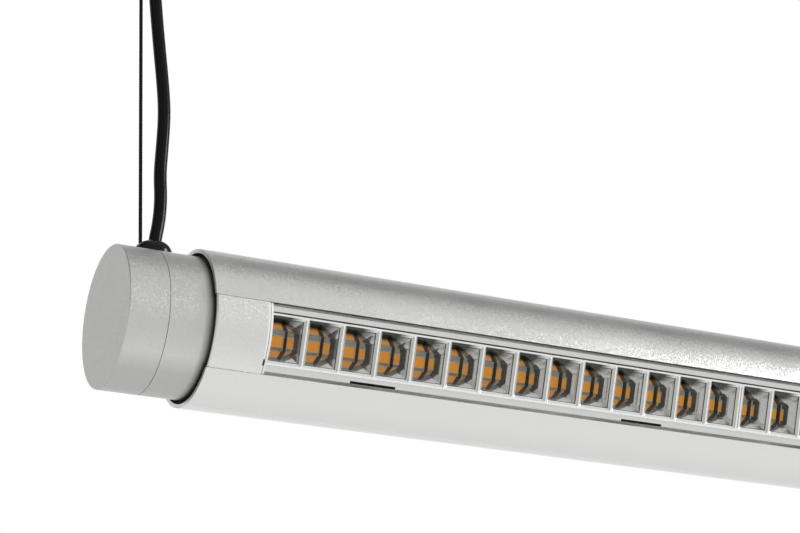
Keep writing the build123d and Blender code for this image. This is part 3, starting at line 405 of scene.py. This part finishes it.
def blend(tree, factor, first, second):
    # two colours, mixed by a factor; the node's sockets for vectors are found by number
    mix = node_of(tree, "ShaderNodeMix", data_type="VECTOR")
    tree.links.new(factor, mix.inputs[0])
    tree.links.new(first, mix.inputs[4])
    tree.links.new(second, mix.inputs[5])
    return mix.outputs[1]


def reckon(tree, operation, first, second):
    # one value worked out of two, such as their product
    answer = node_of(tree, "ShaderNodeMath", operation=operation)
    tree.links.new(first, answer.inputs[0])
    tree.links.new(second, answer.inputs[1])
    return answer.outputs[0]


def times(tree, first, second):
    return reckon(tree, "MULTIPLY", first, second)


def larger(tree, first, second):
    return reckon(tree, "MAXIMUM", first, second)


def coordinate(tree, kind, axis):
    # one axis of a texture coordinate
    place = node_of(tree, "ShaderNodeTexCoord")
    split = node_of(tree, "ShaderNodeSeparateXYZ")
    tree.links.new(place.outputs[kind], split.inputs["Vector"])
    return split.outputs[axis]


def distance_from(tree, value, middle):
    # how far a value is from a middle one, either way
    less = node_of(tree, "ShaderNodeMath", operation="SUBTRACT")
    less.inputs[1].default_value = middle
    tree.links.new(value, less.inputs[0])
    size = node_of(tree, "ShaderNodeMath", operation="ABSOLUTE")
    tree.links.new(less.outputs[0], size.inputs[0])
    return size.outputs[0]


def measured_along(tree, kind, direction):
    # a texture coordinate, measured along a direction
    place = node_of(tree, "ShaderNodeTexCoord")
    along = node_of(tree, "ShaderNodeVectorMath", operation="DOT_PRODUCT")
    along.inputs[1].default_value = direction
    tree.links.new(place.outputs[kind], along.inputs[0])
    return along.outputs["Value"]


def reach_along(tree, direction):
    # how far a point is from the tube's axis along a direction, in the stored pose
    reach = node_of(tree, "ShaderNodeMath", operation="SUBTRACT")
    reach.inputs[1].default_value = Vector((0, 0, AXIS_Z)).dot(direction)
    tree.links.new(measured_along(tree, "Object", direction), reach.inputs[0])
    return reach.outputs[0]


def facing(tree, direction):
    # how squarely a face looks along a direction, in the stored pose
    return measured_along(tree, "Normal", direction)


def endwise(tree):
    # how squarely a face looks along the lamp, either way
    return distance_from(tree, facing(tree, ALONG), 0.0)


def bump_by(tree, shader, value, strength, distance):
    bump = node_of(tree, "ShaderNodeBump", {"Strength": strength, "Distance": distance})
    tree.links.new(value, bump.inputs["Height"])
    tree.links.new(bump.outputs["Normal"], shader.inputs["Normal"])


def tilt_by(tree, shader, scale, amount):
    # small facets, each tilted its own way; gives the node that sets how far
    place = node_of(tree, "ShaderNodeTexCoord")
    facets = node_of(tree, "ShaderNodeTexVoronoi", {"Scale": scale})
    tree.links.new(place.outputs["Object"], facets.inputs["Vector"])
    centred = node_of(tree, "ShaderNodeVectorMath", operation="SUBTRACT")
    centred.inputs[1].default_value = (0.5, 0.5, 0.5)
    tree.links.new(facets.outputs["Color"], centred.inputs[0])
    tilt = node_of(tree, "ShaderNodeVectorMath", {"Scale": amount}, operation="SCALE")
    tree.links.new(centred.outputs["Vector"], tilt.inputs[0])
    surface = node_of(tree, "ShaderNodeNewGeometry")
    tilted = node_of(tree, "ShaderNodeVectorMath", operation="ADD")
    tree.links.new(surface.outputs["Normal"], tilted.inputs[0])
    tree.links.new(tilt.outputs["Vector"], tilted.inputs[1])
    unit = node_of(tree, "ShaderNodeVectorMath", operation="NORMALIZE")
    tree.links.new(tilted.outputs["Vector"], unit.inputs[0])
    tree.links.new(unit.outputs["Vector"], shader.inputs["Normal"])
    return tilt


def blasted_aluminium(name, colour, roughness, grain=1.0):
    # bead-blasted and anodised: a satin metal with a fine sparkle
    material, tree, shader = new_material(name, Metallic=1.0)
    cloud = object_noise(tree, CLOUD_SCALE, SKIN_DETAIL)
    shade_by(tree, shader, colour, cloud, 1 - CLOUD_SHADE, 1 + CLOUD_SHADE)
    uneven = spread(tree, cloud, roughness - CLOUD_ROUGHNESS, roughness + CLOUD_ROUGHNESS)
    tree.links.new(uneven, shader.inputs["Roughness"])
    return material, tilt_by(tree, shader, FACETS, FACET_TILT * grain)


def from_middle(tree):
    # how far a point is from the middle of the lamp's length
    return distance_from(tree, coordinate(tree, "Object", "X"), 0.0)


def hub_aluminium():
    # the same metal, darkened by painted shade towards the underside; the flat disc of the end cap is
    # even
    material, tilt = blasted_aluminium("blasted_hub", (0.63, 0.63, 0.615), 0.40)
    tree = material.node_tree
    shader = tree.nodes["Principled BSDF"]
    # stronger sparkle, which fades where the hub enters the tube
    tube_end = abs(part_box("tube")[0].x)
    outward = from_middle(tree)
    fade = spread(tree, outward, 0.0, HUB_TILT, tube_end + SPARKLE_FROM, tube_end + SPARKLE_FULL)
    tree.links.new(fade, tilt.inputs["Scale"])
    base = shader.inputs["Base Color"].links[0].from_socket
    level = spread(tree, reach_along(tree, UP), PAINTED_SHADE_LEVEL, TOP_LEVEL, PAINTED_SHADE_LOW, PAINTED_SHADE_HIGH)
    disc = spread(tree, endwise(tree), 0.0, 1.0, DISC_FROM, DISC_FULL)
    even = node_of(tree, "ShaderNodeMix", {"B": 1.0})
    tree.links.new(disc, even.inputs["Factor"])
    tree.links.new(level, even.inputs["A"])
    # painted shade and a painted reflection of the gap, darker beside the gap where the hub enters the
    # tube
    ring = spread(tree, outward, SHADE_RING_LEVEL, 1.0, tube_end + SHADE_RING_DARK, tube_end + SHADE_RING_CLEAR)
    scale = node_of(tree, "ShaderNodeVectorMath", operation="SCALE")
    tree.links.new(base, scale.inputs[0])
    tree.links.new(times(tree, even.outputs["Result"], ring), scale.inputs["Scale"])
    tree.links.new(scale.outputs["Vector"], shader.inputs["Base Color"])
    return material


def end_panel_metal():
    # the same metal, with a painted highlight on the cut edge beside the lit slot, and a notch in it
    # painted black as shade
    material, _ = blasted_aluminium("blasted_panel", (0.82, 0.82, 0.81), 0.38, 1.25)
    tree = material.node_tree
    shader = tree.nodes["Principled BSDF"]
    inner_end = abs(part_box("left_end_panel")[1].x)
    outward = from_middle(tree)
    cut_end = inner_end + CUT_EDGE
    painted_edge_highlight = spread(tree, outward, 1.0, 0.0, cut_end, cut_end + CUT_BLUR)
    base = shader.inputs["Base Color"].links[0].from_socket
    # painted highlight on the cut edge
    white = even_colour(tree, (0.97, 0.97, 0.96))
    # the notch, painted black as shade
    from_notch = distance_from(tree, reach_along(tree, ACROSS), NOTCH_PLACE)
    notch_span = spread(tree, from_notch, 1.0, 0.0, NOTCH_HALF, NOTCH_HALF + EDGE_BLUR)
    notch_end = inner_end + NOTCH_DEPTH
    notch_deep = spread(tree, outward, 1.0, 0.0, notch_end, notch_end + EDGE_BLUR)
    notch = times(tree, notch_span, notch_deep)
    black = even_colour(tree, (0.004, 0.004, 0.004))
    edged = blend(tree, painted_edge_highlight, base, white)
    tree.links.new(blend(tree, notch, edged, black), shader.inputs["Base Color"])
    tree.links.new(spread(tree, painted_edge_highlight, 1.0, 0.2, 0.0, 1.0), shader.inputs["Metallic"])
    return material


def plain_finish(name, colour, roughness, metallic=0.0, shine=0.5):
    # paint, plastic or plated metal with a faint uneven skin
    material, tree, shader = new_material(name, Metallic=metallic, Specular_IOR_Level=shine)
    skin = object_noise(tree, SKIN_SCALE, SKIN_DETAIL)
    shade_by(tree, shader, colour, skin, 1 - SKIN_SHADE, 1 + SKIN_SHADE)
    uneven = spread(tree, skin, roughness * (1 - SKIN_ROUGHNESS), roughness * (1 + SKIN_ROUGHNESS))
    tree.links.new(uneven, shader.inputs["Roughness"])
    bump_by(tree, shader, skin, SKIN_BUMP, SKIN_DEPTH)
    return material


def place_in_cell(tree):
    # 0 at the middle of one divider of a louvre, 1 at the middle of the next
    counted = node_of(tree, "ShaderNodeMath", operation="MULTIPLY_ADD")
    counted.inputs[1].default_value = PITCHES_IN_LOUVRE
    counted.inputs[2].default_value = (CELLS_IN_LOUVRE - PITCHES_IN_LOUVRE) / 2
    tree.links.new(coordinate(tree, "Generated", "X"), counted.inputs[0])
    within = node_of(tree, "ShaderNodeMath", operation="FRACT")
    tree.links.new(counted.outputs[0], within.inputs[0])
    return within.outputs[0]


def bare_plastic(tree, height, sideways):
    # where a louvre has no metal skin: the pocket round each LED, and the ears below it
    pocket = spread(tree, height, 1.0, 0.0, POCKET_TOP - EDGE_BLUR, POCKET_TOP)
    inner = spread(tree, sideways, 1.0, 0.0, POCKET_HALF, CELL_HALF)
    ears = spread(tree, height, 1.0, 0.0, EAR_TOP, EAR_TOP + EDGE_BLUR)
    return larger(tree, times(tree, pocket, inner), ears)


def cell_walls(tree, skin, height, within, bare):
    # bright walls, with a painted dark reflection on parts of the upper walls, a painted shadow line
    # under the lip, a painted pale reflection towards the rim, and painted shade in the pocket
    bright = shaded(tree, (0.86, 0.86, 0.85), skin, 0.99, 1.01)
    shady = shaded(tree, (0.055, 0.06, 0.048), skin, 0.99, 1.01)
    painted_pale_reflection = shaded(tree, (0.68, 0.68, 0.64), skin, 0.99, 1.01)
    pale = shaded(tree, (0.50, 0.50, 0.45), skin, 0.9, 1.1)
    dark = shaded(tree, (0.10, 0.10, 0.09), skin, 0.9, 1.1)
    # the upper wall of each cell takes a painted dark reflection up to about its middle, and stays
    # bright beyond
    shady_part = spread(tree, height, 0.0, 1.0, SHADY_LOW, SHADY_HIGH)
    faces_down = spread(tree, facing(tree, ACROSS), 1.0, 0.0, UPPER_WALL_FULL, UPPER_WALL_FROM)
    painted_dark_side = spread(tree, within, 1.0, 0.0, PAINTED_DARK_TO, BRIGHT_FROM)
    walls = blend(tree, times(tree, times(tree, shady_part, faces_down), painted_dark_side), bright, shady)
    # the walls between two cells take a painted pale reflection below their rims, and painted shade in
    # the pocket
    painted_pale_part = spread(tree, height, 0.0, 1.0, PAINTED_PALE_LOW, PAINTED_PALE_HIGH)
    divides = spread(tree, endwise(tree), 0.0, 1.0, DIVIDER_FROM, DIVIDER_FULL)
    walls = blend(tree, times(tree, painted_pale_part, divides), walls, painted_pale_reflection)
    # painted shadow line under the lip
    from_line = distance_from(tree, height, SHADOW_LINE_PLACE)
    painted_shadow_under_lip = spread(tree, from_line, 1.0, 0.0, SHADOW_LINE_HALF, SHADOW_LINE_HALF + EDGE_BLUR)
    walls = blend(tree, painted_shadow_under_lip, walls, shady)
    # in the pocket: painted shade on the dividers' faces, and pale grey on the others
    return blend(tree, bare, walls, blend(tree, divides, pale, dark))


def cell_rims(tree, skin, sideways, within):
    # white rims; those between two cells carry a painted highlight along their middles only, with grey
    # beside it
    white = shaded(tree, (0.96, 0.96, 0.95), skin, 0.98, 1.02)
    grey = shaded(tree, (0.42, 0.42, 0.40), skin, 0.98, 1.02)
    line_edge = 0.5 - HIGHLIGHT_LINE_HALF
    from_cell = distance_from(tree, within, 0.5)
    shoulder = spread(tree, from_cell, 1.0, 0.0, line_edge - HIGHLIGHT_LINE_BLUR, line_edge)
    between = spread(tree, sideways, 1.0, 0.0, MOUTH_HALF - MOUTH_BLUR, MOUTH_HALF)
    return blend(tree, times(tree, shoulder, between), white, grey)


def metallised_louvre():
    # a metal skin on the walls, hazier towards their bare white rims
    material, tree, shader = new_material("metallised")
    skin = object_noise(tree, LOUVRE_SKIN_SCALE, SKIN_DETAIL)
    height = reach_along(tree, OUT)
    sideways = distance_from(tree, reach_along(tree, ACROSS), 0.0)
    within = place_in_cell(tree)
    bare = bare_plastic(tree, height, sideways)
    rim = spread(tree, height, 0.0, 1.0, LOUVRE_TOP - 2 * RIM_BLUR, LOUVRE_TOP - RIM_BLUR)
    walls = cell_walls(tree, skin, height, within, bare)
    rims = cell_rims(tree, skin, sideways, within)
    tree.links.new(blend(tree, rim, walls, rims), shader.inputs["Base Color"])
    plastic = larger(tree, bare, rim)
    haze = spread(tree, height, 0.93, 0.6, HAZE_LOW, LIP_LOW)
    skinned = spread(tree, plastic, 1.0, 0.0, 0.0, 1.0)
    tree.links.new(times(tree, haze, skinned), shader.inputs["Metallic"])
    tree.links.new(spread(tree, plastic, 0.04, 0.5, 0.0, 1.0), shader.inputs["Roughness"])
    return material


def led_package():
    # an orange phosphor top with a faint painted glow, on a package painted grey, which stands for its
    # white plastic in shade
    material, tree, shader = new_material("led_package", Roughness=0.45)
    skin = object_noise(tree, LED_SKIN_SCALE, SKIN_DETAIL)
    phosphor_low = LED_TOP - PHOSPHOR_DEEP
    upper = spread(tree, reach_along(tree, OUT), 0.0, 1.0, phosphor_low, phosphor_low + EDGE_BLUR)
    from_centre = distance_from(tree, reach_along(tree, ACROSS), PHOSPHOR_PLACE)
    window = spread(tree, from_centre, 1.0, 0.0, PHOSPHOR_HALF, PHOSPHOR_HALF + PHOSPHOR_BLUR)
    top = times(tree, upper, window)
    # package painted grey: its white plastic in shade
    package = shaded(tree, (0.44, 0.44, 0.38), skin, 0.95, 1.05)
    phosphor = shaded(tree, (0.95, 0.38, 0.035), skin, 0.95, 1.05)
    tree.links.new(blend(tree, top, package, phosphor), shader.inputs["Base Color"])
    # painted glow of the phosphor
    shader.inputs["Emission Color"].default_value = (1.0, 0.38, 0.03, 1)
    tree.links.new(spread(tree, top, 0.0, PAINTED_GLOW, 0.0, 1.0), shader.inputs["Emission Strength"])
    bump_by(tree, shader, skin, LED_BUMP, SKIN_DEPTH)
    return material


def dress(names, material):
    for name in names:
        slots = nodes[name].data.materials
        slots.clear()
        slots.append(material)


def both(name):
    return [f"left_{name}", f"right_{name}"]


def numbered(name):
    return [f"{name}_{number}" for number in range(1, MODULES + 1)]


# Studio
def either(tree, path, first, second):
    # 1 where a ray is of either kind, otherwise 0
    return larger(tree, path.outputs[first], path.outputs[second])


def floor():
    mesh = bpy.data.meshes.new("floor")
    corners = [(-1, -1), (1, -1), (1, 1), (-1, 1)]
    vertices = [(x * FLOOR_HALF, y * FLOOR_HALF, FLOOR_Z) for x, y in corners]
    mesh.from_pydata(vertices, [], [(0, 1, 2, 3)])
    piece = new_object("floor", mesh)
    material, tree, shader = new_material("floor_white", Roughness=0.7)
    shade_by(tree, shader, (0.8, 0.8, 0.8), object_noise(tree, 3.0), 0.99, 1.0)
    # a little glow makes it as pale as the world, where it is seen and where metal mirrors it
    mirrored = spread(tree, coordinate(tree, "Object", "Y"), 0.0, FLOOR_MIRRORED_GLOW, -1.0, 0.2)
    path = node_of(tree, "ShaderNodeLightPath")
    glow = times(tree, mirrored, either(tree, path, "Is Glossy Ray", "Is Transmission Ray"))
    seen = node_of(tree, "ShaderNodeMath", operation="MULTIPLY_ADD")
    seen.inputs[1].default_value = FLOOR_SEEN_GLOW
    tree.links.new(path.outputs["Is Camera Ray"], seen.inputs[0])
    tree.links.new(glow, seen.inputs[2])
    shader.inputs["Emission Color"].default_value = (1, 1, 1, 1)
    tree.links.new(seen.outputs[0], shader.inputs["Emission Strength"])
    mesh.materials.append(material)


def softbox():
    light = bpy.data.lights.new("front_right_softbox", "AREA")
    light.shape = "RECTANGLE"
    light.size = SOFTBOX_SIDE
    light.size_y = SOFTBOX_SIDE
    light.energy = SOFTBOX_POWER
    lamp = new_object("front_right_softbox", light)
    lamp.location = SOFTBOX_PLACE
    aim = Vector(SOFTBOX_TARGET) - Vector(SOFTBOX_PLACE)
    lamp.rotation_euler = aim.to_track_quat("-Z", "Y").to_euler()


def studio_world():
    # a plain pale level; metal mirrors it white, with a dark strip overhead, dimmer at left and in front
    world = bpy.data.worlds.new("studio")
    bpy.context.scene.world = world
    world.use_nodes = True
    tree = world.node_tree
    background = tree.nodes["Background"]
    sideways, forward, upward = (coordinate(tree, "Generated", axis) for axis in "XYZ")
    from_strip = distance_from(tree, forward, STRIP_Y)
    strip_level = spread(tree, from_strip, STRIP_LEVEL, OVERHEAD_LEVEL, STRIP_NEAR, STRIP_FAR)
    overhead = node_of(tree, "ShaderNodeMix", {"A": 1.0})
    overhead_part = spread(tree, upward, 0.0, 1.0, OVERHEAD_FROM, OVERHEAD_FULL)
    tree.links.new(overhead_part, overhead.inputs["Factor"])
    tree.links.new(strip_level, overhead.inputs["B"])
    left = spread(tree, sideways, LEFT_LEVEL, 1.0, LEFT_FULL, LEFT_FROM)
    front = spread(tree, forward, FRONT_LEVEL, 1.0, FRONT_FULL, FRONT_FROM)
    mirrored = times(tree, overhead.outputs["Result"], times(tree, left, front))
    path = node_of(tree, "ShaderNodeLightPath")
    level = node_of(tree, "ShaderNodeMix", {"A": WORLD_LEVEL})
    tree.links.new(path.outputs["Is Glossy Ray"], level.inputs["Factor"])
    tree.links.new(mirrored, level.inputs["B"])
    seen = either(tree, path, "Is Camera Ray", "Is Transmission Ray")
    tree.links.new(larger(tree, level.outputs["Result"], seen), background.inputs["Strength"])
    background.inputs["Color"].default_value = (1, 1, 1, 1)


place_camera()
cord = power_cord()
wires = [wire("left", LEFT_X + WIRE_IN), wire("right", RIGHT_X - WIRE_IN)]
strip = gap_strip()

tube_metal, _ = blasted_aluminium("blasted_tube", (0.78, 0.78, 0.77), 0.34)
hub_metal = hub_aluminium()
panel_metal = end_panel_metal()
rail_metal, _ = blasted_aluminium("extruded_rail", (0.87, 0.87, 0.86), 0.25, 0.4)
plate_white = plain_finish("white_edge", (0.93, 0.93, 0.92), 0.45)
chrome = metallised_louvre()
phosphor = led_package()
board_mask = plain_finish("solder_mask", (0.75, 0.75, 0.66), 0.5)
rubber = plain_finish("black_rubber", (0.006, 0.006, 0.006), 0.16, shine=0.22)
pvc = plain_finish("black_pvc", (0.003, 0.003, 0.003), 0.25, shine=0.15)
matte_black = plain_finish("matte_black", (0.006, 0.006, 0.006), 0.55, shine=0.12)
black_steel = plain_finish("black_steel", (0.03, 0.03, 0.03), 0.35, 0.6)
zinc = plain_finish("zinc_steel", (0.62, 0.62, 0.60), 0.35, 1.0)
acetal = plain_finish("black_acetal", (0.02, 0.02, 0.02), 0.45)
white_paint = plain_finish("white_paint", (0.80, 0.80, 0.79), 0.5)
white_plastic = plain_finish("white_plastic", (0.82, 0.81, 0.77), 0.4)
brass = plain_finish("brass", (0.72, 0.52, 0.22), 0.3, 1.0)

dress(["tube"] + both("canopy"), tube_metal)
dress(both("end_panel"), panel_metal)
dress(both("hub") + both("end_cap"), hub_metal)
dress(["carrier"], rail_metal)
dress(both("engine_plate"), plate_white)
dress(numbered("louvre"), chrome)
dress(["led_chips"], phosphor)
dress(numbered("led_board"), board_mask)
dress(both("grommet") + both("canopy_grommet"), rubber)
dress(["cord_tail", "cord_ceiling_tail", "driver_lead"], pvc)
dress(["wire_tails", "cap_grub_screws", "bush_screws", "canopy_screws"], black_steel)
dress(both("anchor_bracket") + both("retaining_ring") + both("ceiling_plate"), zinc)
dress(["anchor_screws", "gland_screws", "board_screws", "wire_ferrules"], zinc)
dress(both("bush") + both("friction_washer") + ["cord_gland"], acetal)
dress(["rail_clips"], matte_black)
dress(["driver_case"], white_paint)
dress(["terminal_block", "ceiling_block"], white_plastic)
dress(both("wire_gripper"), brass)
cord.data.materials.append(pvc)
strip.data.materials.append(rail_metal)
for piece in wires:
    piece.data.materials.append(matte_black)

floor()
softbox()
studio_world()
bpy.context.scene.view_settings.view_transform = "Standard"
